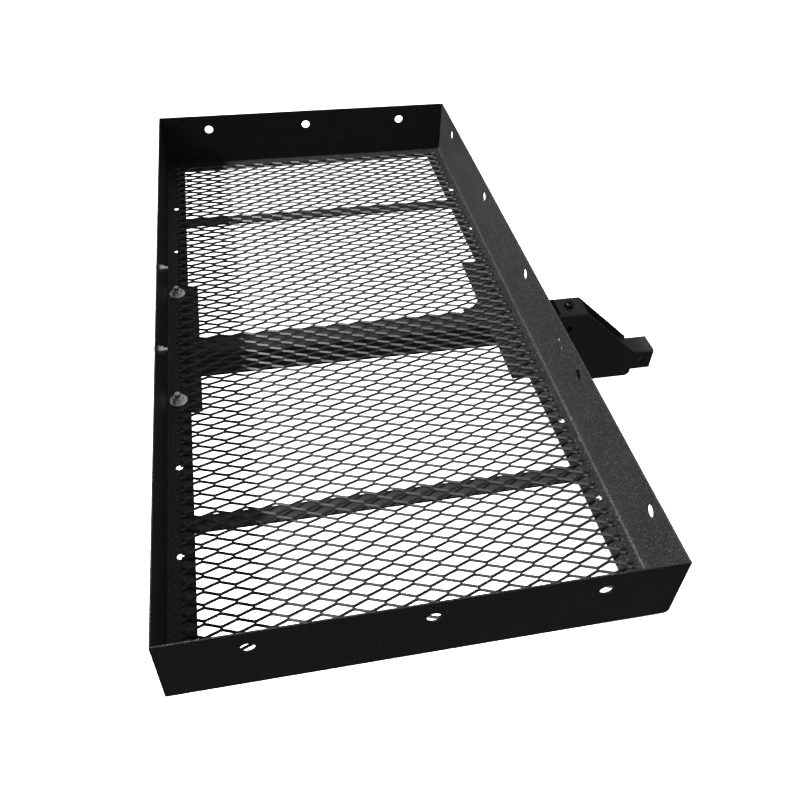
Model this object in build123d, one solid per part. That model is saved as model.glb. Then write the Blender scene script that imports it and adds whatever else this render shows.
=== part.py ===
from build123d import *

import math
import os

# Hitch-mounted folding cargo tray.
# Frame: origin on the axis of the hitch-pin hole, at the middle of the square shank.
# +X points to the vehicle, +Y along the tray's length, +Z up. Millimetres.

# Tray
TRAY_LENGTH = 1370.0
TRAY_WIDTH = 680.0
WALL_HEIGHT = 120.0
SHEET = 2.5
FLANGE_WIDTH = 42.0
TRAY_CENTRE_X = -622.0
TRAY_BASE_Z = 146.0
OUTER_BEND_RADIUS = 4.0
VEHICLE_BEND_RADIUS = 8.0
EDGE_RADIUS = 0.9

# Holes for lashing and for the floor bolts
WALL_HOLE_RADIUS = 9.5
SIDE_HOLE_HEIGHT = 90.0
SIDE_HOLE_PITCH = 288.0
SIDE_HOLE_COUNT = 5
END_HOLE_HEIGHT = 86.0
END_HOLE_PITCH = 230.0
END_HOLE_COUNT = 3
FLANGE_HOLE_RADIUS = 5.5
FLANGE_HOLE_INSET = 21.0
FLANGE_HOLE_STEPS = (-476.0, -305.0, -153.0, 0.0, 153.0, 305.0, 476.0)
FLOOR_BOLT_Y = 153.0

# Expanded-metal floor: one solid diamond stands for four of the real 44.4 by 25.2 mm ones
MESH_LONG_WAY = 88.8
MESH_SHORT_WAY = 50.4
MESH_COLUMNS = 7
MESH_ROWS = 26
MESH_STRAND = 5.6
MESH_THICKNESS = 3.0
MESH_NOTCH_RADIUS = 16.5

# Cross bars under the floor
BAR_WIDTH = 30.0
BAR_THICKNESS = 4.0
BAR_Y = 420.0
BAR_END_INSET = 12.0

# Centre arm and the plates that carry the tray on it
ARM_WIDTH = 50.0
ARM_DEPTH = 60.0
ARM_WALL = 3.0
ARM_CORNER = 6.0
PLATE_THICKNESS = 5.0
OUTER_PLATE_WIDTH = 58.0
OUTER_PLATE_LENGTH = 356.0
INNER_PLATE_WIDTH = 69.0
INNER_PLATE_LENGTH = 364.0
GUSSET_RADIUS = 38.0
PLATE_EDGE_INSET = 2.0

# Hinge bracket, a plate folded into an upside-down channel over the shank
SHANK_SIDE = 50.8
SHANK_WALL = 4.8
SHANK_CORNER = 5.0
SHANK_NOSE = 27.0
SHANK_TAIL = -175.0
HITCH_PIN_HOLE_RADIUS = 8.15
BRACKET_PLATE = 4.5
BRACKET_BEND = 8.0
BRACKET_TOP_Z = 148.0
BRACKET_BOTTOM_Z = -35.0
BRACKET_END_X = -19.0
BRACKET_END_CUT = 7.0
SLOPE_END_Z = 27.0
WEB_START_X = -204.0
WEB_END_X = -150.0
HINGE_END = (
    (-182.0, BRACKET_BOTTOM_Z),
    (-280.0, 52.0),
    (-289.0, 76.0),
    (-275.0, 112.0),
    (-250.0, BRACKET_TOP_Z),
)
HINGE_END_RADIUS = 9.0

# Hinge, its stops and its lock
HINGE_X = -236.0
HEEL_LENGTH = 69.0
HINGE_BOLT_RADIUS = 8.0
HINGE_BUSH_BORE = 8.06
HINGE_BUSH_RADIUS = 11.0
HINGE_HOLE_RADIUS = 8.3
LOCK_REACH = 54.0
PIN_RADIUS = 6.35
PIN_HOLE_RADIUS = 6.42
LOCK_HOLE_RADIUS = 6.6
STOP_GAP = 0.3
PIN_BEND_RADIUS = 14.0
PIN_TIP_STAND = 18.0
PIN_ELBOW_STAND = 22.0
PIN_HANDLE = 46.0
SCREW_X = -179.0
SCREW_RADIUS = 6.0
SCREW_TOP_Z = 155.0
SCREW_SOCKET_ACROSS = 6.0
SCREW_SOCKET_DEPTH = 6.0

# Fasteners: across flats, height
M16_HEAD = (24.0, 10.0)
M16_NUT = (24.0, 13.0)
M16_WASHER = (15.0, 3.0)
M12_THIN_NUT = (19.0, 6.0)
M10_HEAD = (16.0, 6.4)
M10_NUT = (16.0, 8.4)
M8_HEAD = (13.0, 5.3)
M8_NUT = (13.0, 6.5)
FENDER_RADIUS = 15.0
FENDER_THICKNESS = 2.5
SMALL_WASHER_RADIUS = 8.5
SMALL_WASHER_THICKNESS = 1.6
M10_RADIUS = 5.0
M8_RADIUS = 4.0
FLOOR_BOLT_STAND = 18.0
WALL_BOLT_STAND = 14.0
WALL_BOLT_Y = 118.0
BOLT_END_CHAMFER = 1.0
FIT_GAP = 0.05

# Arm end cap
CAP_FACE = 3.0
CAP_PLUG = 16.0
CAP_GAP = 0.2

# Places worked out from the sizes above
OUTER_FACE_X = TRAY_CENTRE_X - TRAY_WIDTH / 2
VEHICLE_FACE_X = TRAY_CENTRE_X + TRAY_WIDTH / 2
FLANGE_TOP_Z = TRAY_BASE_Z + SHEET
RAIL_LENGTH = TRAY_LENGTH - 2 * SHEET
PLATE_BASE_Z = TRAY_BASE_Z - PLATE_THICKNESS
ARM_CENTRE_Z = PLATE_BASE_Z - ARM_DEPTH / 2
ARM_OUTER_X = OUTER_FACE_X + PLATE_EDGE_INSET + CAP_FACE
ARM_HEEL_X = HINGE_X + HEEL_LENGTH
BRACKET_HALF = SHANK_SIDE / 2 + BRACKET_PLATE
LOCK_X = HINGE_X + LOCK_REACH
STOP_OFFSET = ARM_DEPTH / 2 + PIN_RADIUS + STOP_GAP
PIN_X = HINGE_X - STOP_OFFSET
PIN_Z = ARM_CENTRE_Z - STOP_OFFSET
FLOOR_BOLT_X = OUTER_FACE_X + FLANGE_HOLE_INSET


def block(x0, x1, y0, y1, z0, z1):
    """A box between two corners."""
    centre = Location(((x0 + x1) / 2, (y0 + y1) / 2, (z0 + z1) / 2))
    return centre * Box(x1 - x0, y1 - y0, z1 - z0)


def rod_x(radius, x0, x1, y, z):
    """A round bar along X."""
    return Location(((x0 + x1) / 2, y, z)) * Rot(0, 90, 0) * Cylinder(radius, x1 - x0)


def rod_y(radius, y0, y1, x, z):
    """A round bar along Y."""
    return Location((x, (y0 + y1) / 2, z)) * Rot(90, 0, 0) * Cylinder(radius, y1 - y0)


def rod_z(radius, z0, z1, x, y):
    """A round bar along Z."""
    return Location((x, y, (z0 + z1) / 2)) * Cylinder(radius, z1 - z0)


def hexagon(across, height):
    """A hexagonal head or nut blank standing on the XY plane, its upper corners turned off."""
    corner_radius = across / math.sqrt(3)
    blank = extrude(RegularPolygon(corner_radius, 6), height)
    crown = Cylinder(corner_radius, height, align=(Align.CENTER, Align.CENTER, Align.MIN))
    return blank & chamfer(crown.edges().group_by(Axis.Z)[-1], corner_radius - across / 2)


def nut(size, bore):
    """A hexagonal nut standing on the XY plane."""
    across, height = size
    return hexagon(across, height) - Cylinder(bore, 3 * height)


def washer(radius, thickness, bore):
    """A flat washer standing on the XY plane."""
    ring = Cylinder(radius, thickness) - Cylinder(bore, 3 * thickness)
    return Location((0, 0, thickness / 2)) * ring


def bolt(head, radius, length):
    """A hexagonal bolt along Z: the head hangs below the XY plane and the shank stands on it."""
    across, height = head
    shank = Cylinder(radius, length, align=(Align.CENTER, Align.CENTER, Align.MIN))
    shank = chamfer(shank.edges().group_by(Axis.Z)[-1], BOLT_END_CHAMFER)
    return Rot(180, 0, 0) * hexagon(across, height) + shank


def both_sides(shape, y):
    """Two copies of a shape, at +y and at -y."""
    return Compound([Location((0, side * y, 0)) * shape for side in (-1, 1)])


def angle_section(bend_radius):
    """The rail's section in XY: a wall up Y at the left and a flange along X at the bottom."""
    wall = Location((SHEET / 2, WALL_HEIGHT / 2)) * Rectangle(SHEET, WALL_HEIGHT)
    flange = Location((FLANGE_WIDTH / 2, SHEET / 2)) * Rectangle(FLANGE_WIDTH, SHEET)
    section = wall + flange
    outside = section.vertices().sort_by_distance((0, 0))[0]
    section = fillet(outside, bend_radius)
    inside = section.vertices().sort_by_distance((SHEET, SHEET))[0]
    section = fillet(inside, bend_radius - SHEET)
    ends = [v for v in section.vertices() if v.Y > WALL_HEIGHT - SHEET or v.X > FLANGE_WIDTH - SHEET]
    return fillet(ends, EDGE_RADIUS)


def side_rail(bend_radius):
    """A long rail at the outer side, its flange towards +X, from its own outer face at X = 0."""
    section = Plane.XZ * angle_section(bend_radius)
    rail = extrude(section, RAIL_LENGTH / 2, both=True)
    holes = [
        rod_z(FLANGE_HOLE_RADIUS, -SHEET, 2 * SHEET, FLANGE_HOLE_INSET, y) for y in FLANGE_HOLE_STEPS
    ]
    return rail - holes


def outer_side_rail():
    rail = Location((OUTER_FACE_X, 0, TRAY_BASE_Z)) * side_rail(OUTER_BEND_RADIUS)
    height = TRAY_BASE_Z + SIDE_HOLE_HEIGHT
    for side in (-1, 1):
        start = OUTER_FACE_X - SHEET
        rail -= rod_x(M8_RADIUS + FIT_GAP, start, start + 3 * SHEET, side * WALL_BOLT_Y, height)
    return rail


def vehicle_side_rail():
    rail = Location((VEHICLE_FACE_X, 0, TRAY_BASE_Z)) * Rot(0, 0, 180) * side_rail(VEHICLE_BEND_RADIUS)
    height = TRAY_BASE_Z + SIDE_HOLE_HEIGHT
    for index in range(SIDE_HOLE_COUNT):
        y = (index - (SIDE_HOLE_COUNT - 1) / 2) * SIDE_HOLE_PITCH
        rail -= rod_x(WALL_HOLE_RADIUS, VEHICLE_FACE_X - 2 * SHEET, VEHICLE_FACE_X + SHEET, y, height)
    return rail


def end_wall(side):
    """An end wall: side is -1 at the near end and +1 at the far end."""
    wall_face = side * TRAY_LENGTH / 2
    sheet_y = sorted((wall_face, wall_face - side * SHEET))
    flange_y = sorted((wall_face, wall_face - side * FLANGE_WIDTH))
    wall = block(OUTER_FACE_X, VEHICLE_FACE_X, *sheet_y, TRAY_BASE_Z, TRAY_BASE_Z + WALL_HEIGHT)
    flange = block(
        OUTER_FACE_X + FLANGE_WIDTH, VEHICLE_FACE_X - FLANGE_WIDTH, *flange_y, TRAY_BASE_Z, FLANGE_TOP_Z
    )
    wall += flange
    corner = wall.edges().filter_by(Axis.Y).group_by(Axis.Z)[0].sort_by(Axis.X)[-1]
    wall = fillet(corner, VEHICLE_BEND_RADIUS)
    wall = fillet(wall.edges().filter_by(Axis.X).group_by(Axis.Z)[-1], EDGE_RADIUS)
    height = TRAY_BASE_Z + END_HOLE_HEIGHT
    for index in range(END_HOLE_COUNT):
        x = TRAY_CENTRE_X + (index - (END_HOLE_COUNT - 1) / 2) * END_HOLE_PITCH
        wall -= rod_y(WALL_HOLE_RADIUS, wall_face - 2 * SHEET, wall_face + 2 * SHEET, x, height)
    return wall


def mesh_floor():
    """Expanded metal: staggered diamond openings between even strands."""
    width = MESH_COLUMNS * MESH_LONG_WAY
    length = MESH_ROWS * MESH_SHORT_WAY
    side = math.hypot(MESH_LONG_WAY, MESH_SHORT_WAY) / 2
    inradius = MESH_LONG_WAY * MESH_SHORT_WAY / 4 / side
    scale = 1 - MESH_STRAND / 2 / inradius
    half_x = MESH_LONG_WAY / 2 * scale
    half_y = MESH_SHORT_WAY / 2 * scale
    centres = []
    for row in range(2 * MESH_ROWS - 1):
        shift = 0.5 if row % 2 == 0 else 1.0
        for column in range(MESH_COLUMNS - row % 2):
            x = (column + shift) * MESH_LONG_WAY - width / 2
            y = (row + 1) * MESH_SHORT_WAY / 2 - length / 2
            centres.append((x, y))
    openings = [
        Wire.make_polygon([(x - half_x, y), (x, y - half_y), (x + half_x, y), (x, y + half_y)])
        for x, y in centres
    ]
    edge = Wire.make_rect(width, length)
    sheet = extrude(Face(edge, openings), MESH_THICKNESS, dir=(0, 0, 1))
    floor = Location((TRAY_CENTRE_X, 0, FLANGE_TOP_Z)) * sheet
    for end in (-1, 1):
        floor -= rod_z(
            MESH_NOTCH_RADIUS, TRAY_BASE_Z, TRAY_BASE_Z + 4 * SHEET, FLOOR_BOLT_X, end * FLOOR_BOLT_Y
        )
    return floor


def cross_bar(y):
    start = OUTER_FACE_X + BAR_END_INSET
    end = VEHICLE_FACE_X - BAR_END_INSET
    top = TRAY_BASE_Z
    return block(start, end, y - BAR_WIDTH / 2, y + BAR_WIDTH / 2, top - BAR_THICKNESS, top)


def box_tube(width, depth, wall, corner, x0, x1, z):
    """A rectangular tube along X with rounded corners."""
    section = RectangleRounded(width, depth, corner) - RectangleRounded(
        width - 2 * wall, depth - 2 * wall, corner - wall
    )
    return Location((x0, 0, z)) * extrude(Plane.YZ * section, x1 - x0)


def arm_tube():
    tube = box_tube(ARM_WIDTH, ARM_DEPTH, ARM_WALL, ARM_CORNER, ARM_OUTER_X, ARM_HEEL_X, ARM_CENTRE_Z)
    tube -= rod_y(HINGE_BUSH_RADIUS, -ARM_WIDTH, ARM_WIDTH, HINGE_X, ARM_CENTRE_Z)
    return tube - rod_y(LOCK_HOLE_RADIUS, -ARM_WIDTH, ARM_WIDTH, LOCK_X, ARM_CENTRE_Z)


def hinge_bush():
    half = ARM_WIDTH / 2
    bush = rod_y(HINGE_BUSH_RADIUS, -half, half, HINGE_X, ARM_CENTRE_Z)
    return bush - rod_y(HINGE_BUSH_BORE, -ARM_WIDTH, ARM_WIDTH, HINGE_X, ARM_CENTRE_Z)


def arm_end_cap():
    half_y = ARM_WIDTH / 2
    half_z = ARM_DEPTH / 2
    face = block(
        ARM_OUTER_X - CAP_FACE, ARM_OUTER_X, -half_y, half_y, ARM_CENTRE_Z - half_z, ARM_CENTRE_Z + half_z
    )
    face = fillet(face.edges().filter_by(Axis.X), ARM_CORNER)
    plug_y = half_y - ARM_WALL - CAP_GAP
    plug_z = half_z - ARM_WALL - CAP_GAP
    plug = box_tube(
        2 * plug_y, 2 * plug_z, ARM_WALL, ARM_CORNER, ARM_OUTER_X, ARM_OUTER_X + CAP_PLUG, ARM_CENTRE_Z
    )
    return face + plug


def outer_cross_plate():
    start = OUTER_FACE_X + PLATE_EDGE_INSET
    half = OUTER_PLATE_LENGTH / 2
    plate = block(start, start + OUTER_PLATE_WIDTH, -half, half, PLATE_BASE_Z, TRAY_BASE_Z)
    for end in (-1, 1):
        plate -= rod_z(FLANGE_HOLE_RADIUS, PLATE_BASE_Z - 1, TRAY_BASE_Z + 1, FLOOR_BOLT_X, end * FLOOR_BOLT_Y)
    return plate


def inner_cross_plate():
    """The plate at the hinge end, which runs out along the arm in two curved gussets."""
    end = VEHICLE_FACE_X - PLATE_EDGE_INSET
    start = end - INNER_PLATE_WIDTH
    half = INNER_PLATE_LENGTH / 2
    arm_half = ARM_WIDTH / 2
    plate = block(start, end, -half, half, PLATE_BASE_Z, TRAY_BASE_Z)
    reach = arm_half + GUSSET_RADIUS
    tongue = block(start - GUSSET_RADIUS, start, -reach, reach, PLATE_BASE_Z, TRAY_BASE_Z)
    for side in (-1, 1):
        tongue -= rod_z(
            GUSSET_RADIUS, PLATE_BASE_Z - 1, TRAY_BASE_Z + 1, start - GUSSET_RADIUS, side * reach
        )
    return plate + tongue


def shank_tube():
    tube = box_tube(SHANK_SIDE, SHANK_SIDE, SHANK_WALL, SHANK_CORNER, SHANK_TAIL, SHANK_NOSE, 0)
    return tube - rod_y(HITCH_PIN_HOLE_RADIUS, -SHANK_SIDE, SHANK_SIDE, 0, 0)


def bracket_outline():
    """The bracket's side view: a level web, a slope down to the shank and a rounded hinge end."""
    points = [
        (WEB_END_X, BRACKET_TOP_Z),
        (BRACKET_END_X, SLOPE_END_Z),
        (BRACKET_END_X, BRACKET_BOTTOM_Z + BRACKET_END_CUT),
        (BRACKET_END_X - BRACKET_END_CUT, BRACKET_BOTTOM_Z),
        *HINGE_END,
    ]
    outline = make_face(Polyline(*points, close=True))
    rounded = [v for v in outline.vertices() if any(abs(v.X - x) < SHEET for x, _ in HINGE_END)]
    outline = fillet(rounded, HINGE_END_RADIUS)
    return Plane.XZ * outline


def hinge_bracket():
    """One plate folded over both sides of the arm and the shank."""
    inner_half = SHANK_SIDE / 2
    height = BRACKET_TOP_Z - BRACKET_BOTTOM_Z + BRACKET_BEND
    centre_z = BRACKET_TOP_Z - height / 2
    outer = RectangleRounded(2 * BRACKET_HALF, height, BRACKET_BEND)
    inner = Location((0, -BRACKET_PLATE)) * RectangleRounded(
        2 * inner_half, height, BRACKET_BEND - BRACKET_PLATE
    )
    section = Plane.YZ * (outer - inner)
    length = BRACKET_END_X - HINGE_X + 4 * STOP_OFFSET
    channel = Location((BRACKET_END_X - length, 0, centre_z)) * extrude(section, length)
    sides = extrude(bracket_outline(), BRACKET_HALF, both=True)
    bracket = channel & sides
    bracket -= block(
        HINGE_X - 4 * STOP_OFFSET, WEB_START_X, -inner_half, inner_half, ARM_CENTRE_Z, BRACKET_TOP_Z + 1
    )
    bracket -= rod_y(HINGE_HOLE_RADIUS, -ARM_WIDTH, ARM_WIDTH, HINGE_X, ARM_CENTRE_Z)
    bracket -= rod_y(PIN_HOLE_RADIUS, -ARM_WIDTH, ARM_WIDTH, PIN_X, PIN_Z)
    bracket -= rod_y(LOCK_HOLE_RADIUS, -ARM_WIDTH, ARM_WIDTH, LOCK_X, ARM_CENTRE_Z)
    bracket -= rod_y(LOCK_HOLE_RADIUS, -ARM_WIDTH, ARM_WIDTH, HINGE_X, ARM_CENTRE_Z - LOCK_REACH)
    return bracket - rod_z(SCREW_RADIUS + FIT_GAP, ARM_CENTRE_Z, SCREW_TOP_Z, SCREW_X, 0)


def hinge_bolt():
    washer_height = M16_WASHER[1]
    length = 2 * BRACKET_HALF + 2 * washer_height + M16_NUT[1] + 4
    place = Location((HINGE_X, -BRACKET_HALF - washer_height, ARM_CENTRE_Z)) * Rot(-90, 0, 0)
    return place * bolt(M16_HEAD, HINGE_BOLT_RADIUS, length)


def hinge_nut():
    place = Location((HINGE_X, BRACKET_HALF + M16_WASHER[1], ARM_CENTRE_Z)) * Rot(-90, 0, 0)
    return place * nut(M16_NUT, HINGE_BOLT_RADIUS + FIT_GAP)


def hinge_washers():
    radius, thickness = M16_WASHER
    ring = washer(radius, thickness, HINGE_HOLE_RADIUS)
    near = Location((HINGE_X, -BRACKET_HALF, ARM_CENTRE_Z)) * Rot(90, 0, 0) * ring
    far = Location((HINGE_X, BRACKET_HALF, ARM_CENTRE_Z)) * Rot(-90, 0, 0) * ring
    return Compound([near, far])


def levelling_screw():
    """A set screw through the bracket's web, which bears on the arm's heel."""
    base = PLATE_BASE_Z + STOP_GAP
    screw = rod_z(SCREW_RADIUS, base, SCREW_TOP_Z, SCREW_X, 0)
    screw = chamfer(screw.edges().filter_by(GeomType.CIRCLE), BOLT_END_CHAMFER)
    socket = extrude(RegularPolygon(SCREW_SOCKET_ACROSS / math.sqrt(3), 6), SCREW_SOCKET_DEPTH)
    return screw - Location((SCREW_X, 0, SCREW_TOP_Z - SCREW_SOCKET_DEPTH)) * socket


def levelling_nut():
    return Location((SCREW_X, 0, BRACKET_TOP_Z)) * nut(M12_THIN_NUT, SCREW_RADIUS + FIT_GAP)


def stop_pin():
    """A bent pin under the arm: a straight run through both sides, its handle hanging at the far side."""
    tip = -BRACKET_HALF - PIN_TIP_STAND
    elbow = BRACKET_HALF + PIN_ELBOW_STAND
    half_turn = math.pi / 4
    straight = Line((0, tip, 0), (0, elbow, 0))
    bend = ThreePointArc(
        (0, elbow, 0),
        (
            0,
            elbow + PIN_BEND_RADIUS * math.sin(half_turn),
            -PIN_BEND_RADIUS * (1 - math.cos(half_turn)),
        ),
        (0, elbow + PIN_BEND_RADIUS, -PIN_BEND_RADIUS),
    )
    handle = Line(bend @ 1, (0, elbow + PIN_BEND_RADIUS, -PIN_BEND_RADIUS - PIN_HANDLE))
    path = Wire([straight, bend, handle])
    section = Plane(origin=(0, tip, 0), z_dir=(0, 1, 0)) * Circle(PIN_RADIUS)
    pin = sweep(section, path)
    point = pin.edges().filter_by(GeomType.CIRCLE).sort_by(Axis.Y)[0]
    pin = chamfer(point, 2 * BOLT_END_CHAMFER)
    return Location((PIN_X, 0, PIN_Z)) * pin


def floor_bolts():
    length = PLATE_THICKNESS + SHEET + FLOOR_BOLT_STAND
    seat = Location((FLOOR_BOLT_X, 0, PLATE_BASE_Z))
    return both_sides(seat * bolt(M10_HEAD, M10_RADIUS, length), FLOOR_BOLT_Y)


def floor_washers():
    ring = washer(FENDER_RADIUS, FENDER_THICKNESS, M10_RADIUS + FIT_GAP)
    return both_sides(Location((FLOOR_BOLT_X, 0, FLANGE_TOP_Z)) * ring, FLOOR_BOLT_Y)


def floor_nuts():
    seat = Location((FLOOR_BOLT_X, 0, FLANGE_TOP_Z + FENDER_THICKNESS))
    return both_sides(seat * nut(M10_NUT, M10_RADIUS + FIT_GAP), FLOOR_BOLT_Y)


def wall_bolts():
    place = Location((OUTER_FACE_X, 0, TRAY_BASE_Z + SIDE_HOLE_HEIGHT)) * Rot(0, 90, 0)
    return both_sides(place * bolt(M8_HEAD, M8_RADIUS, SHEET + WALL_BOLT_STAND), WALL_BOLT_Y)


def wall_washers():
    place = Location((OUTER_FACE_X + SHEET, 0, TRAY_BASE_Z + SIDE_HOLE_HEIGHT)) * Rot(0, 90, 0)
    ring = washer(SMALL_WASHER_RADIUS, SMALL_WASHER_THICKNESS, M8_RADIUS + FIT_GAP)
    return both_sides(place * ring, WALL_BOLT_Y)


def wall_nuts():
    start = OUTER_FACE_X + SHEET + SMALL_WASHER_THICKNESS
    place = Location((start, 0, TRAY_BASE_Z + SIDE_HOLE_HEIGHT)) * Rot(0, 90, 0)
    return both_sides(place * nut(M8_NUT, M8_RADIUS + FIT_GAP), WALL_BOLT_Y)


PARTS = {
    "shank_tube": shank_tube,
    "hinge_bracket": hinge_bracket,
    "hinge_bolt": hinge_bolt,
    "hinge_nut": hinge_nut,
    "hinge_washers": hinge_washers,
    "levelling_screw": levelling_screw,
    "levelling_nut": levelling_nut,
    "stop_pin": stop_pin,
    "arm_tube": arm_tube,
    "hinge_bush": hinge_bush,
    "arm_end_cap": arm_end_cap,
    "outer_cross_plate": outer_cross_plate,
    "inner_cross_plate": inner_cross_plate,
    "outer_side_rail": outer_side_rail,
    "vehicle_side_rail": vehicle_side_rail,
    "near_end_wall": lambda: end_wall(-1),
    "far_end_wall": lambda: end_wall(1),
    "near_cross_bar": lambda: cross_bar(-BAR_Y),
    "far_cross_bar": lambda: cross_bar(BAR_Y),
    "mesh_floor": mesh_floor,
    "floor_bolts": floor_bolts,
    "floor_washers": floor_washers,
    "floor_nuts": floor_nuts,
    "wall_bolts": wall_bolts,
    "wall_washers": wall_washers,
    "wall_nuts": wall_nuts,
}

os.makedirs("parts", exist_ok=True)
for name, make in PARTS.items():
    export_step(make(), f"parts/{name}.step")
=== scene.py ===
import math
import random

import bmesh
import bpy
from bpy.props import FloatProperty, FloatVectorProperty, IntProperty, PointerProperty
from bpy.types import Operator, Panel, PropertyGroup
from mathutils import Euler, Matrix, Vector


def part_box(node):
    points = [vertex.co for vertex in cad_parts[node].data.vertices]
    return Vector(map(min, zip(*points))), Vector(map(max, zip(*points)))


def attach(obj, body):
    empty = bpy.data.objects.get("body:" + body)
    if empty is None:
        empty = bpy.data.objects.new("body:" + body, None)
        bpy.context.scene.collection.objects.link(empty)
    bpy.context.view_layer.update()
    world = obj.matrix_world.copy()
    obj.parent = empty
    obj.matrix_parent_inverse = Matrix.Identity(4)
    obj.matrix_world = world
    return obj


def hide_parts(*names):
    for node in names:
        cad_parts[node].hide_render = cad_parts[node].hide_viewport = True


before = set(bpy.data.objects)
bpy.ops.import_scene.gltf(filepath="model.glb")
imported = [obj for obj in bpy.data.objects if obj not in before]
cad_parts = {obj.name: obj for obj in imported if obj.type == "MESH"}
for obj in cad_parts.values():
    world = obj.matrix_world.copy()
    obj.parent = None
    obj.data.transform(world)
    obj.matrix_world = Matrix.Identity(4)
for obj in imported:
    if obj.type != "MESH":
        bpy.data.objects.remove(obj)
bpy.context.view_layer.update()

bl_info = {
    "name": "Folding Hitch Tray",
    "version": (1, 0, 0),
    "blender": (4, 5, 0),
    "location": "3D View > Sidebar > Hitch Tray",
    "description": "Finishes, expanded-metal floor, weld beads and threads of a folding cargo tray",
    "category": "Object",
}

MM = 0.001
ACROSS_X = Matrix(((0, 0, 1, 0), (1, 0, 0, 0), (0, 1, 0, 0), (0, 0, 0, 1)))
FLOOR_THREAD = (4.98 * MM, 1.5 * MM)
WALL_THREAD = (3.98 * MM, 1.25 * MM)
HINGE_THREAD = (7.98 * MM, 2.0 * MM)
CAMERA_LENS = 36.58
CAMERA_PLACE = (-0.8028, -1.1985, 1.1305)
CAMERA_TURN = (0.80128, -0.03649, -0.19966)
FLOOR_RADIUS = 9.0
FLOOR_SWEEP = 3.0
FLOOR_WALL = 12.0
FLOOR_STEPS = 8
CHIPS = ((-195.0 * MM, 234.5 * MM, 5.2 * MM), (-212.0 * MM, 229.0 * MM, 4.6 * MM))
TRAY = "tray"
BRACKET = "hitch_bracket"


def linear(code):
    """An sRGB hex colour as linear RGBA."""
    channels = [int(code[i : i + 2], 16) / 255 for i in (1, 3, 5)]
    return (*[c / 12.92 if c <= 0.04045 else ((c + 0.055) / 1.055) ** 2.4 for c in channels], 1.0)


def colour(name, description, code):
    """A colour setting."""
    return FloatVectorProperty(
        name=name, description=description, subtype="COLOR", size=4, min=0, max=1, default=linear(code)
    )


def distance(name, description, millimetres):
    """A length setting, given in millimetres."""
    return FloatProperty(
        name=name, description=description, subtype="DISTANCE", unit="LENGTH", min=0, default=millimetres * MM
    )


# Settings


class HitchTrayFloorSettings(PropertyGroup):
    """Sizes of the expanded-metal floor."""

    long_way: distance("Long way", "Length of one diamond, bond to bond, across the tray", 44.4)
    short_way: distance("Short way", "Width of one diamond, along the tray", 25.2)
    columns: IntProperty(name="Columns", description="Diamonds across the tray", min=1, default=14)
    rows: IntProperty(name="Rows", description="Diamonds along the tray", min=1, default=52)
    strand_width: distance("Strand width", "Width of one slit strand", 4.4)
    sheet: distance("Sheet", "Thickness of the sheet before it was slit", 2.6)
    bond: distance("Bond", "Length of the flat where two strands stay joined", 2.6)
    tilt: FloatProperty(
        name="Tilt",
        description="Lean of the strands from the level",
        subtype="ANGLE",
        unit="ROTATION",
        default=math.radians(38),
    )
    overhang: distance("Overhang", "How far the sheared ends of the strands reach past the last bond", 6.5)


class HitchTrayWeldSettings(PropertyGroup):
    """Sizes of the weld beads."""

    bead: distance("Bead", "Radius of a bead", 2.6)
    ripple: distance("Ripple", "Length of one ripple of a bead", 2.6)


class HitchTrayFinishSettings(PropertyGroup):
    """Colours of the finishes."""

    sheet_black: colour("Textured black", "Powder coat on the tray's sheet", "#1b1b1c")
    # Painted highlight: the lighter grey laid on the pebble's crests stands in for the glints of light they
    # catch.
    crest_glint: colour("Texture crests", "Crests of the textured coat", "#6a6b6d")
    chip_steel: colour("Chips", "Bare steel in the chips of the coat", "#8b8a88")
    frame_black: colour("Satin black", "Powder coat on arm, plates, bracket and floor", "#29292a")
    zinc: colour("Zinc", "Zinc plate on bolts, nuts and washers", "#dcdee1")
    oxide: colour("Black oxide", "Blackened steel of the levelling screw", "#2b2b2d")
    steel: colour("Turned steel", "Bush in the arm", "#8f9092")
    plastic: colour("Black plastic", "Cap in the arm's end", "#19191a")


class HitchTrayStageSettings(PropertyGroup):
    """The studio around the tray."""

    floor_drop: distance("Floor drop", "How far the floor lies under the hitch pin", 600)
    key_strength: FloatProperty(name="Key", description="Strength of the key light", min=0, default=9.0)
    fill_strength: FloatProperty(
        name="Fill", description="Strength of the soft light overhead", min=0, default=0.6
    )
    fill_low: FloatProperty(
        name="Low fill", description="Strength of the soft light from below", min=0, default=0.09
    )
    key_height: FloatProperty(
        name="Key height",
        description="Height of the key light over the horizon",
        subtype="ANGLE",
        unit="ROTATION",
        default=math.radians(39),
    )


# Materials


def add(tree, kind, settings=None, links=None):
    """Adds a node, sets its properties and sockets, and links other nodes' sockets into it."""
    node = tree.nodes.new(kind)
    for name, value in (settings or {}).items():
        if isinstance(name, int) or name in node.inputs:
            node.inputs[name].default_value = value
        else:
            setattr(node, name, value)
    for name, source in (links or {}).items():
        tree.links.new(source, node.inputs[name])
    return node


def material(name):
    """An empty node material and its tree, or None for the tree where the material is already there."""
    made = bpy.data.materials.get(name)
    if made:
        return made, None
    made = bpy.data.materials.new(name)
    made.use_nodes = True
    made.node_tree.nodes.clear()
    return made, made.node_tree


def grains(tree, size, detail=2.0):
    """Noise on the piece's own coordinates, its lumps about the given size in metres."""
    coordinates = add(tree, "ShaderNodeTexCoord")
    settings = {"Scale": 1 / size, "Detail": detail}
    return add(tree, "ShaderNodeTexNoise", settings, {"Vector": coordinates.outputs["Object"]}).outputs["Fac"]


def spread(tree, source, low, high, to_low=0.0, to_high=1.0):
    """A value taken from one range to another."""
    settings = {"From Min": low, "From Max": high, "To Min": to_low, "To Max": to_high}
    return add(tree, "ShaderNodeMapRange", settings, {"Value": source}).outputs["Result"]


def combine(tree, operation, first, second):
    """Two values put together by a mathematical operation."""
    return add(tree, "ShaderNodeMath", {"operation": operation}, {0: first, 1: second}).outputs["Value"]


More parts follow.
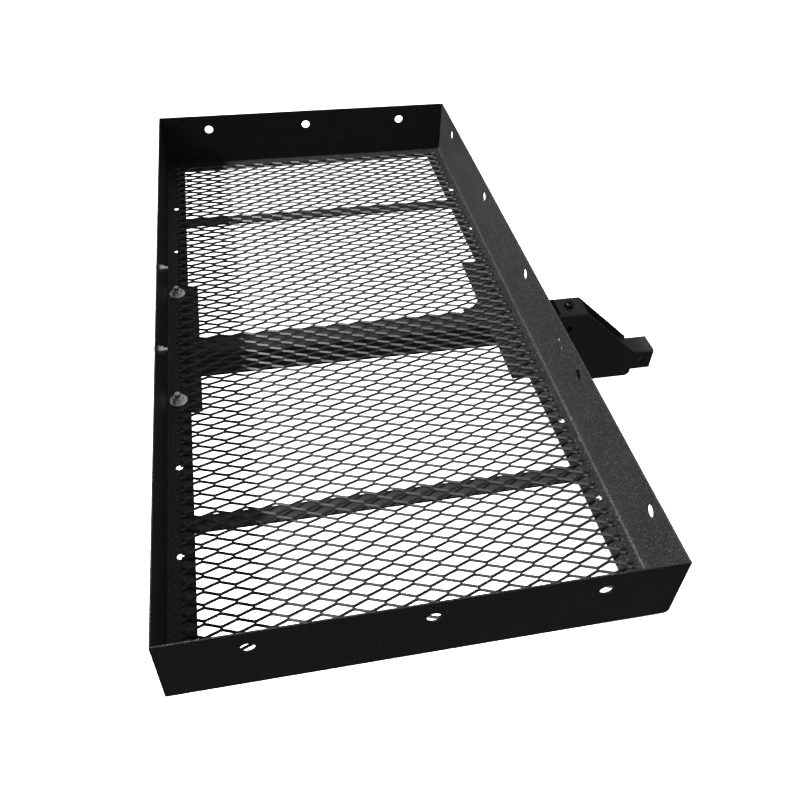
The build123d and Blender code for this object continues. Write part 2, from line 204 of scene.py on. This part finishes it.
def finish_surface(tree, shader):
    """Joins the shader to the material's output."""
    add(tree, "ShaderNodeOutputMaterial", links={"Surface": shader.outputs[0]})


def chips(tree):
    """One where a chip is, nothing elsewhere: ragged spots on the inner face of the vehicle-side wall."""
    coordinates = add(tree, "ShaderNodeTexCoord")
    ragged = grains(tree, 3.0 * MM)
    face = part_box("vehicle_side_rail")[1].x
    marks = []
    for y, z, size in CHIPS:
        settings = {"operation": "DISTANCE", 1: (face, y, z)}
        reach = add(tree, "ShaderNodeVectorMath", settings, {0: coordinates.outputs["Object"]})
        spot = spread(tree, reach.outputs["Value"], size, 0.6 * size)
        marks.append(combine(tree, "MULTIPLY", spot, ragged))
    total = marks[0]
    for mark in marks[1:]:
        total = combine(tree, "ADD", total, mark)
    return spread(tree, total, 0.35, 0.45)


def textured_powder_coat():
    """Polyester powder coat, sprayed and baked: matt black with a close pebble whose crests are painted a
    lighter grey, a painted highlight standing in for the glints of light they catch.
    The real pebble is about 0.5 mm; it is drawn at 2.5 mm so that it shows from a few steps away.
    Two chips in the vehicle-side wall show bare steel."""
    made, tree = material("textured_powder_coat")
    if not tree:
        return made
    colours = bpy.context.scene.hitch_tray_finish
    pebble = grains(tree, 2.5 * MM)
    clouds = grains(tree, 90 * MM)
    # Painted highlight: the crests of the pebble noise get the lighter grey, as glints of light on the coat.
    crests = spread(tree, pebble, 0.56, 0.72, 0.0, 0.45)
    coat = add(
        tree,
        "ShaderNodeMix",
        {"data_type": "RGBA", 6: colours.sheet_black, 7: colours.crest_glint},
        {0: crests},
    )
    base = add(
        tree,
        "ShaderNodeMix",
        {"data_type": "RGBA", 7: colours.chip_steel},
        {0: chips(tree), 6: coat.outputs[2]},
    )
    bump = add(tree, "ShaderNodeBump", {"Strength": 0.6, "Distance": 0.6 * MM}, {"Height": pebble})
    shader = add(
        tree,
        "ShaderNodeBsdfPrincipled",
        {"Specular IOR Level": 0.35},
        {
            "Base Color": base.outputs[2],
            "Roughness": spread(tree, clouds, 0.3, 0.7, 0.45, 0.58),
            "Normal": bump.outputs["Normal"],
        },
    )
    finish_surface(tree, shader)
    return made


def satin_powder_coat():
    """Smooth powder coat over welded steel: a satin black with the faint orange peel of a baked film."""
    made, tree = material("satin_powder_coat")
    if not tree:
        return made
    colours = bpy.context.scene.hitch_tray_finish
    peel = grains(tree, 4.0 * MM, 1.0)
    clouds = grains(tree, 60 * MM)
    bump = add(tree, "ShaderNodeBump", {"Strength": 0.25, "Distance": 0.3 * MM}, {"Height": peel})
    shader = add(
        tree,
        "ShaderNodeBsdfPrincipled",
        {"Base Color": colours.frame_black, "Specular IOR Level": 0.4},
        {"Roughness": spread(tree, clouds, 0.3, 0.7, 0.38, 0.5), "Normal": bump.outputs["Normal"]},
    )
    finish_surface(tree, shader)
    return made


def zinc_plated_steel():
    """Bright zinc on rolled fasteners: pale cool metal, dulled in small cloudy patches."""
    made, tree = material("zinc_plated_steel")
    if not tree:
        return made
    colours = bpy.context.scene.hitch_tray_finish
    patches = grains(tree, 5.0 * MM)
    scuffs = grains(tree, 0.7 * MM)
    bump = add(tree, "ShaderNodeBump", {"Strength": 0.15, "Distance": 0.1 * MM}, {"Height": scuffs})
    shader = add(
        tree,
        "ShaderNodeBsdfPrincipled",
        {"Base Color": colours.zinc, "Metallic": 1.0},
        {"Roughness": spread(tree, patches, 0.3, 0.7, 0.3, 0.5), "Normal": bump.outputs["Normal"]},
    )
    finish_surface(tree, shader)
    return made


def black_oxide_steel():
    """Set screw steel blackened in hot salts: a dark metal with a soft oily sheen."""
    made, tree = material("black_oxide_steel")
    if not tree:
        return made
    colours = bpy.context.scene.hitch_tray_finish
    patches = grains(tree, 3.0 * MM)
    shader = add(
        tree,
        "ShaderNodeBsdfPrincipled",
        {"Base Color": colours.oxide, "Metallic": 1.0},
        {"Roughness": spread(tree, patches, 0.3, 0.7, 0.35, 0.5)},
    )
    finish_surface(tree, shader)
    return made


def turned_steel():
    """Plain carbon steel turned on a lathe: grey metal with fine rings across its end faces."""
    made, tree = material("turned_steel")
    if not tree:
        return made
    colours = bpy.context.scene.hitch_tray_finish
    coordinates = add(tree, "ShaderNodeTexCoord")
    low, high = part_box("hinge_bush")
    centred = add(
        tree,
        "ShaderNodeMapping",
        {"Location": -(low + high) / 2},
        {"Vector": coordinates.outputs["Object"]},
    )
    rings = add(
        tree,
        "ShaderNodeTexWave",
        {"wave_type": "RINGS", "rings_direction": "Y", "Scale": 1 / (20 * 0.3 * MM), "Distortion": 0.5},
        {"Vector": centred.outputs["Vector"]},
    )
    heights = {"Height": rings.outputs["Fac"]}
    bump = add(tree, "ShaderNodeBump", {"Strength": 0.2, "Distance": 0.05 * MM}, heights)
    shader = add(
        tree,
        "ShaderNodeBsdfPrincipled",
        {"Base Color": colours.steel, "Metallic": 1.0, "Roughness": 0.35},
        {"Normal": bump.outputs["Normal"]},
    )
    finish_surface(tree, shader)
    return made


def moulded_polyethylene():
    """Injection-moulded polyethylene: waxy black plastic with a fine spark-eroded grain."""
    made, tree = material("moulded_polyethylene")
    if not tree:
        return made
    colours = bpy.context.scene.hitch_tray_finish
    grain = grains(tree, 0.8 * MM)
    bump = add(tree, "ShaderNodeBump", {"Strength": 0.3, "Distance": 0.1 * MM}, {"Height": grain})
    shader = add(
        tree,
        "ShaderNodeBsdfPrincipled",
        {"Base Color": colours.plastic, "Roughness": 0.5},
        {"Normal": bump.outputs["Normal"]},
    )
    finish_surface(tree, shader)
    return made


def coat_nodes(names, made):
    """Gives CAD nodes a material."""
    for name in names:
        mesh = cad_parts[name].data
        mesh.materials.clear()
        mesh.materials.append(made)


# Mesh helpers


def new_piece(name, bm, body, made, smooth_angle=None):
    """Turns a bmesh into a piece that rides on a body."""
    bmesh.ops.recalc_face_normals(bm, faces=bm.faces)
    mesh = bpy.data.meshes.new(name)
    bm.to_mesh(mesh)
    bm.free()
    piece = bpy.data.objects.new(name, mesh)
    bpy.context.scene.collection.objects.link(piece)
    mesh.materials.append(made)
    if smooth_angle:
        mesh.polygons.foreach_set("use_smooth", [True] * len(mesh.polygons))
        mesh.set_sharp_from_angle(angle=smooth_angle)
    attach(piece, body)
    return piece


def push(bm, face, offset):
    """Extrudes a face by an offset and returns the face at the new end."""
    made = bmesh.ops.extrude_face_region(bm, geom=[face])["geom"]
    bmesh.ops.translate(bm, verts=[g for g in made if isinstance(g, bmesh.types.BMVert)], vec=offset)
    return next(g for g in made if isinstance(g, bmesh.types.BMFace))


def cut_away(bm, geom, point, normal):
    """Removes what lies behind a plane and closes the cut."""
    cut = bmesh.ops.bisect_plane(
        bm, geom=geom, dist=1e-7, plane_co=point, plane_no=normal, clear_inner=True
    )["geom_cut"]
    bmesh.ops.holes_fill(bm, edges=[g for g in cut if isinstance(g, bmesh.types.BMEdge)])


def everything(bm):
    """All of a bmesh, as an operator takes it."""
    return [*bm.verts, *bm.edges, *bm.faces]


def put_in(bm, part, place):
    """Moves a finished bmesh to its place, adds it to another and frees it."""
    bmesh.ops.transform(part, matrix=place, verts=part.verts)
    mesh = bpy.data.meshes.new("part")
    part.to_mesh(mesh)
    part.free()
    bm.from_mesh(mesh)
    bpy.data.meshes.remove(mesh)


# Expanded-metal floor


def zigzag_strand(bm, sizes, starts_low):
    """One strand along X from the origin: a leaning flat bar, pushed out through each bond and each slope.
    Its ends run on past the last bonds, as the sheared edge of a cut panel does."""
    blank = bmesh.ops.create_grid(bm, x_segments=1, y_segments=1, size=0.5)["verts"]
    section = Matrix.Rotation(sizes.tilt, 4, "X") @ ACROSS_X @ Matrix.Diagonal(
        (sizes.strand_width, sizes.sheet, 1, 1)
    )
    bmesh.ops.transform(bm, matrix=section, verts=blank)
    edge = sizes.sheet * 0.22
    bmesh.ops.bevel(bm, geom=blank, offset=edge, segments=1, profile=0.5, affect="VERTICES", material=-1)
    face = bm.faces[:][0]
    lean = Vector((0, math.cos(sizes.tilt), math.sin(sizes.tilt))) * sizes.strand_width / 2
    steps = 2 * sizes.columns
    half = sizes.long_way / 2
    places = []
    for step in range(-1, steps + 2):
        low = (step % 2 == 0) == starts_low
        middle = lean if low else Vector((0, sizes.short_way / 2, 0)) - lean
        for side in (-0.5, 0.5):
            places.append(middle + Vector((step * half + side * sizes.bond, 0, 0)))
    bmesh.ops.translate(bm, verts=face.verts, vec=places[0])
    for before, after in zip(places[:-1], places[1:]):
        face = push(bm, face, after - before)
    cut_away(bm, everything(bm), (-sizes.overhang, 0, 0), (1, 0, 0))
    cut_away(bm, everything(bm), (steps * half + sizes.overhang, 0, 0), (-1, 0, 0))


def floor_strands(bm, sizes, starts_low, washers):
    """Every second strand of the floor, those near a washer cut short of it."""
    pattern = bmesh.new()
    zigzag_strand(pattern, sizes, starts_low)
    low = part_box("mesh_floor")[0]
    lift = math.sin(sizes.tilt) * sizes.strand_width + math.cos(sizes.tilt) * sizes.sheet / 2
    first = Vector((low.x, low.y + (0 if starts_low else sizes.short_way / 2), low.z + lift))
    for row in range(sizes.rows):
        strand = pattern.copy()
        place = first + Vector((0, row * sizes.short_way, 0))
        for centre, radius in washers:
            if -radius - sizes.short_way / 2 < place.y - centre.y < radius:
                cut_away(strand, everything(strand), (centre.x + radius - place.x, 0, 0), (1, 0, 0))
        put_in(bm, strand, Matrix.Translation(place))
    pattern.free()


def pair_places(node, radius):
    """The axes of two like round pieces that stand at either end of a node's box."""
    low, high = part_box(node)
    middle = (low + high) / 2
    return [Vector((middle.x, y, middle.z)) for y in (low.y + radius, high.y - radius)]


class HITCHTRAY_OT_mesh_floor(Operator):
    """Make the raised expanded-metal floor"""

    bl_idname = "hitch_tray.mesh_floor"
    bl_label = "Mesh Floor"

    def execute(self, context):
        sizes = context.scene.hitch_tray_floor
        low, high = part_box("floor_washers")
        radius = (high.x - low.x) / 2
        washers = [(place, radius + 1.5 * MM) for place in pair_places("floor_washers", radius)]
        bm = bmesh.new()
        for starts_low in (True, False):
            floor_strands(bm, sizes, starts_low, washers)
        piece = new_piece("expanded_mesh", bm, TRAY, satin_powder_coat())
        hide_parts("mesh_floor")
        return {"FINISHED"}


# Sheet, frame and bracket


class HITCHTRAY_OT_sheet_coat(Operator):
    """Coat the rails and end walls"""

    bl_idname = "hitch_tray.sheet_coat"
    bl_label = "Rails and End Walls"

    def execute(self, context):
        names = ["outer_side_rail", "vehicle_side_rail", "near_end_wall", "far_end_wall"]
        coat_nodes(names, textured_powder_coat())
        return {"FINISHED"}


class HITCHTRAY_OT_frame_coat(Operator):
    """Coat the arm, its plates and the cross bars"""

    bl_idname = "hitch_tray.frame_coat"
    bl_label = "Arm, Plates and Bars"

    def execute(self, context):
        names = ["arm_tube", "outer_cross_plate", "inner_cross_plate", "near_cross_bar", "far_cross_bar"]
        coat_nodes(names, satin_powder_coat())
        coat_nodes(["arm_end_cap"], moulded_polyethylene())
        return {"FINISHED"}


class HITCHTRAY_OT_bracket_coat(Operator):
    """Coat the hinge bracket and the hitch shank"""

    bl_idname = "hitch_tray.bracket_coat"
    bl_label = "Bracket and Shank"

    def execute(self, context):
        coat_nodes(["hinge_bracket", "shank_tube"], satin_powder_coat())
        return {"FINISHED"}


class HITCHTRAY_OT_hardware(Operator):
    """Finish the nuts, washers, pin, screw and bush"""

    bl_idname = "hitch_tray.hardware"
    bl_label = "Hardware"

    def execute(self, context):
        zinc = ["hinge_nut", "hinge_washers", "floor_washers", "floor_nuts", "wall_washers", "wall_nuts"]
        coat_nodes([*zinc, "stop_pin"], zinc_plated_steel())
        coat_nodes(["levelling_screw", "levelling_nut"], black_oxide_steel())
        coat_nodes(["hinge_bush"], turned_steel())
        return {"FINISHED"}


# Threaded bolts


def thread(radius, pitch, length):
    """A V thread on the XY plane: a zigzag of crests and roots, turned about Z and lifted a pitch a turn."""
    depth = 0.54 * pitch
    steps = 24
    bm = bmesh.new()
    vert = bmesh.ops.create_vert(bm, co=(radius, 0, -pitch))["vert"][0]
    for tooth in range(2 * math.ceil(length / pitch) + 6):
        vert = bmesh.ops.extrude_vert_indiv(bm, verts=[vert])["verts"][0]
        inward = -depth if tooth % 2 == 0 else depth
        bmesh.ops.translate(bm, verts=[vert], vec=(inward, 0, pitch / 2))
    bmesh.ops.spin(
        bm,
        geom=everything(bm),
        cent=(0, 0, 0),
        axis=(0, 0, 1),
        dvec=(0, 0, pitch / steps),
        angle=math.tau,
        steps=steps,
    )
    bmesh.ops.remove_doubles(bm, verts=bm.verts, dist=0.01 * MM)
    cut_away(bm, everything(bm), (0, 0, 0), (0, 0, 1))
    cut_away(bm, everything(bm), (0, 0, length), (0, 0, -1))
    return bm


def threaded_bolts(name, node, body, axis, places, start, end, size):
    """Copies a node's bolts up to start along their axis, and carries them on to end as a real thread."""
    bm = bmesh.new()
    bm.from_mesh(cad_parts[node].data)
    bmesh.ops.remove_doubles(bm, verts=bm.verts, dist=0.001 * MM)
    direction = Vector([float(letter == axis) for letter in "XYZ"])
    radius, pitch = size
    cut_away(bm, everything(bm), direction * start, -direction)
    turn = Vector((0, 0, 1)).rotation_difference(direction).to_matrix().to_4x4()
    for place in places:
        foot = place + direction * (start - place.dot(direction))
        put_in(bm, thread(radius, pitch, end - start), Matrix.Translation(foot) @ turn)
    piece = new_piece(name, bm, body, zinc_plated_steel(), math.radians(25))
    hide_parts(node)


class HITCHTRAY_OT_bolts(Operator):
    """Make the floor, wall and hinge bolts with real threads"""

    bl_idname = "hitch_tray.bolts"
    bl_label = "Threaded Bolts"

    def execute(self, context):
        low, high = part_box("floor_washers")
        places = pair_places("floor_washers", (high.x - low.x) / 2)
        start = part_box("floor_nuts")[0].z + 4 * MM
        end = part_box("floor_bolts")[1].z
        threaded_bolts("threaded_floor_bolts", "floor_bolts", TRAY, "Z", places, start, end, FLOOR_THREAD)

        low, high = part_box("wall_washers")
        places = pair_places("wall_washers", (high.z - low.z) / 2)
        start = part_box("wall_nuts")[0].x + 2 * MM
        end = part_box("wall_bolts")[1].x
        threaded_bolts("threaded_wall_bolts", "wall_bolts", TRAY, "X", places, start, end, WALL_THREAD)

        low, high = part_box("hinge_nut")
        start = low.y + 4 * MM
        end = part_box("hinge_bolt")[1].y
        places = [(low + high) / 2]
        threaded_bolts("threaded_hinge_bolt", "hinge_bolt", BRACKET, "Y", places, start, end, HINGE_THREAD)
        return {"FINISHED"}


# Weld beads


def bead(bm, start, end, sizes, chance, scale=1.0):
    """A bead from start to end: a ring pushed along in ripples that swell and shrink, each uneven."""
    start = Vector(start)
    run = Vector(end) - start
    reached = 0.45
    part = bmesh.new()
    ring = bmesh.ops.create_circle(part, cap_ends=True, segments=10, radius=sizes.bead * scale * reached)
    face = ring["verts"][0].link_faces[0]
    count = max(2, round(run.length / sizes.ripple))
    for ripple in range(count):
        for share, size in ((0.25, 0.96), (0.35, 1.0), (0.4, 0.86)):
            last = ripple == count - 1 and share == 0.4
            size = 0.45 if last else size * chance.uniform(0.94, 1.06)
            face = push(part, face, (0, 0, share * run.length / count))
            bmesh.ops.scale(part, vec=(size / reached, size / reached, 1), verts=face.verts)
            reached = size
    turn = run.to_track_quat("Z", "Y").to_matrix().to_4x4()
    put_in(bm, part, Matrix.Translation(start) @ turn)


def mirrored(start, end):
    """A run and its mirror image across the tray's middle."""
    return [(start, end), tuple(Vector((p[0], -p[1], p[2])) for p in (start, end))]


def tray_runs():
    """Where beads join arm, plates, bars and walls."""
    outer_low, outer_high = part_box("outer_side_rail")
    vehicle_low, vehicle_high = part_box("vehicle_side_rail")
    arm_low, arm_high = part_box("arm_tube")
    under = outer_low.z
    runs = []
    for plate in ("outer_cross_plate", "inner_cross_plate"):
        low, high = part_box(plate)
        clear_start = low.x + 4 * MM
        clear_end = high.x - 12 * MM
        runs += mirrored((clear_start, arm_high.y, low.z), (clear_end, arm_high.y, low.z))
    low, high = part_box("outer_cross_plate")
    runs += mirrored((low.x + 2 * MM, high.y, under), (low.x + 38 * MM, high.y, under))
    low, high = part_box("inner_cross_plate")
    runs += mirrored((high.x - 38 * MM, high.y, under), (high.x - 2 * MM, high.y, under))
    for bar in ("near_cross_bar", "far_cross_bar"):
        low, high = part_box(bar)
        for y in (low.y, high.y):
            runs.append(((low.x, y, under), (outer_low.x + 40 * MM, y, under)))
            runs.append(((vehicle_high.x - 40 * MM, y, under), (high.x, y, under)))
    return runs


def bracket_runs():
    """Where beads join the bracket's sides to the shank."""
    shank_low, shank_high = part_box("shank_tube")
    bracket_low, bracket_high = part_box("hinge_bracket")
    end = bracket_high.x
    top = shank_high.z
    return [
        *mirrored((shank_low.x + 6 * MM, top_y(shank_high), top), (end - 1 * MM, top_y(shank_high), top)),
        *mirrored((shank_low.x + 6 * MM, top_y(shank_high), -top), (end - 9 * MM, top_y(shank_high), -top)),
        *mirrored((end, shank_high.y, -top + 6 * MM), (end, shank_high.y, top - 3 * MM)),
    ]


def top_y(high):
    """Half the shank's width, less the start of its rounded corner."""
    return high.y - 1.2 * MM


class HITCHTRAY_OT_welds(Operator):
    """Lay the weld beads on the tray's frame and on the bracket"""

    bl_idname = "hitch_tray.welds"
    bl_label = "Weld Beads"

    def execute(self, context):
        sizes = context.scene.hitch_tray_welds
        chance = random.Random(4)
        for name, body, slot, runs, scale in (
            ("frame_welds", TRAY, "frame_coat", tray_runs(), 1.0),
            ("bracket_welds", BRACKET, "bracket_coat", bracket_runs(), 1.3),
        ):
            bm = bmesh.new()
            for start, end in runs:
                bead(bm, start, end, sizes, chance, scale)
            new_piece(name, bm, body, satin_powder_coat(), math.radians(60))
        return {"FINISHED"}


# Studio


def backdrop(drop):
    """A wide floor that curves up into a wall all round."""
    bm = bmesh.new()
    disc = bmesh.ops.create_circle(bm, cap_ends=True, segments=96, radius=FLOOR_RADIUS)["verts"]
    rim = disc[0].link_faces[0].edges[:]
    step_angle = math.radians(90) / FLOOR_STEPS
    for step in range(1, FLOOR_STEPS + 1):
        made = bmesh.ops.extrude_edge_only(bm, edges=rim)["geom"]
        verts = [g for g in made if isinstance(g, bmesh.types.BMVert)]
        turn = step_angle * step
        before = turn - step_angle
        grow = (FLOOR_RADIUS + FLOOR_SWEEP * math.sin(turn)) / (FLOOR_RADIUS + FLOOR_SWEEP * math.sin(before))
        rise = FLOOR_SWEEP * (math.cos(before) - math.cos(turn))
        bmesh.ops.scale(bm, vec=(grow, grow, 1), verts=verts)
        bmesh.ops.translate(bm, verts=verts, vec=(0, 0, rise))
        rim = [g for g in made if isinstance(g, bmesh.types.BMEdge)]
    made = bmesh.ops.extrude_edge_only(bm, edges=rim)["geom"]
    verts = [g for g in made if isinstance(g, bmesh.types.BMVert)]
    bmesh.ops.translate(bm, verts=verts, vec=(0, 0, FLOOR_WALL))
    bmesh.ops.translate(bm, verts=bm.verts, vec=(-0.6, 0, -drop))
    mesh = bpy.data.meshes.new("studio_floor")
    bm.to_mesh(mesh)
    bm.free()
    mesh.polygons.foreach_set("use_smooth", [True] * len(mesh.polygons))
    return bpy.data.objects.new("studio_floor", mesh)


def pale_paint():
    """Matt white studio paint, lit from all round."""
    made, tree = material("pale_studio_paint")
    if not tree:
        return made
    shader = add(
        tree,
        "ShaderNodeBsdfPrincipled",
        {
            "Base Color": linear("#f4f4f4"),
            "Roughness": 0.9,
            "Emission Color": linear("#ffffff"),
            "Emission Strength": 0.9,
        },
    )
    finish_surface(tree, shader)
    return made


def soft_fill(low, high):
    """A white surround, dim up to the horizon and bright overhead, as under a large ceiling soft box."""
    world = bpy.data.worlds.new("soft_fill")
    world.use_nodes = True
    tree = world.node_tree
    tree.nodes.clear()
    towards = add(tree, "ShaderNodeTexCoord")
    parts = add(tree, "ShaderNodeSeparateXYZ", links={"Vector": towards.outputs["Object"]})
    strength = spread(tree, parts.outputs["Z"], -0.05, 1.0, low, high)
    light = add(tree, "ShaderNodeBackground", {"Color": (1, 1, 1, 1)}, {"Strength": strength})
    add(tree, "ShaderNodeOutputWorld", links={"Surface": light.outputs["Background"]})
    return world


class HITCHTRAY_OT_stage(Operator):
    """Set the floor, the lights and the camera"""

    bl_idname = "hitch_tray.stage"
    bl_label = "Studio"

    def execute(self, context):
        scene = context.scene
        look = scene.hitch_tray_stage
        floor = backdrop(look.floor_drop)
        scene.collection.objects.link(floor)
        floor.data.materials.append(pale_paint())
        floor.visible_diffuse = False
        floor.visible_glossy = False
        floor.visible_shadow = False

        key_data = bpy.data.lights.new("key", "SUN")
        key_data.energy = look.key_strength
        key_data.angle = math.radians(5)
        key = bpy.data.objects.new("key", key_data)
        aim = Vector((math.cos(look.key_height), 0, -math.sin(look.key_height)))
        key.rotation_euler = aim.to_track_quat("-Z", "Y").to_euler()
        scene.collection.objects.link(key)

        scene.world = soft_fill(look.fill_low, look.fill_strength)

        lens = bpy.data.cameras.new("camera")
        lens.sensor_width = 36
        lens.lens = CAMERA_LENS
        camera = bpy.data.objects.new("camera", lens)
        camera.location = CAMERA_PLACE
        camera.rotation_euler = Euler(CAMERA_TURN)
        scene.collection.objects.link(camera)
        scene.camera = camera
        scene.view_settings.view_transform = "Standard"
        return {"FINISHED"}


# Add-on

SETTINGS = {
    "hitch_tray_floor": HitchTrayFloorSettings,
    "hitch_tray_welds": HitchTrayWeldSettings,
    "hitch_tray_finish": HitchTrayFinishSettings,
    "hitch_tray_stage": HitchTrayStageSettings,
}
OPERATORS = (
    HITCHTRAY_OT_sheet_coat,
    HITCHTRAY_OT_frame_coat,
    HITCHTRAY_OT_bracket_coat,
    HITCHTRAY_OT_hardware,
    HITCHTRAY_OT_mesh_floor,
    HITCHTRAY_OT_bolts,
    HITCHTRAY_OT_welds,
    HITCHTRAY_OT_stage,
)


class HITCHTRAY_PT_panel(Panel):
    """The tray's settings and operators"""

    bl_label = "Hitch Tray"
    bl_idname = "HITCHTRAY_PT_panel"
    bl_space_type = "VIEW_3D"
    bl_region_type = "UI"
    bl_category = "Hitch Tray"

    def draw(self, context):
        for name, group in SETTINGS.items():
            box = self.layout.box()
            for setting in group.__annotations__:
                box.prop(getattr(context.scene, name), setting)
        for operator in OPERATORS:
            self.layout.operator(operator.bl_idname)


def register():
    for name, group in SETTINGS.items():
        bpy.utils.register_class(group)
        setattr(bpy.types.Scene, name, PointerProperty(type=group))
    for cls in (*OPERATORS, HITCHTRAY_PT_panel):
        bpy.utils.register_class(cls)


def unregister():
    for cls in (HITCHTRAY_PT_panel, *reversed(OPERATORS)):
        bpy.utils.unregister_class(cls)
    for name, group in reversed(SETTINGS.items()):
        delattr(bpy.types.Scene, name)
        bpy.utils.unregister_class(group)


def main():
    register()
    for operator in OPERATORS:
        group, name = operator.bl_idname.split(".")
        getattr(getattr(bpy.ops, group), name)()


if __name__ == "__main__":
    main()
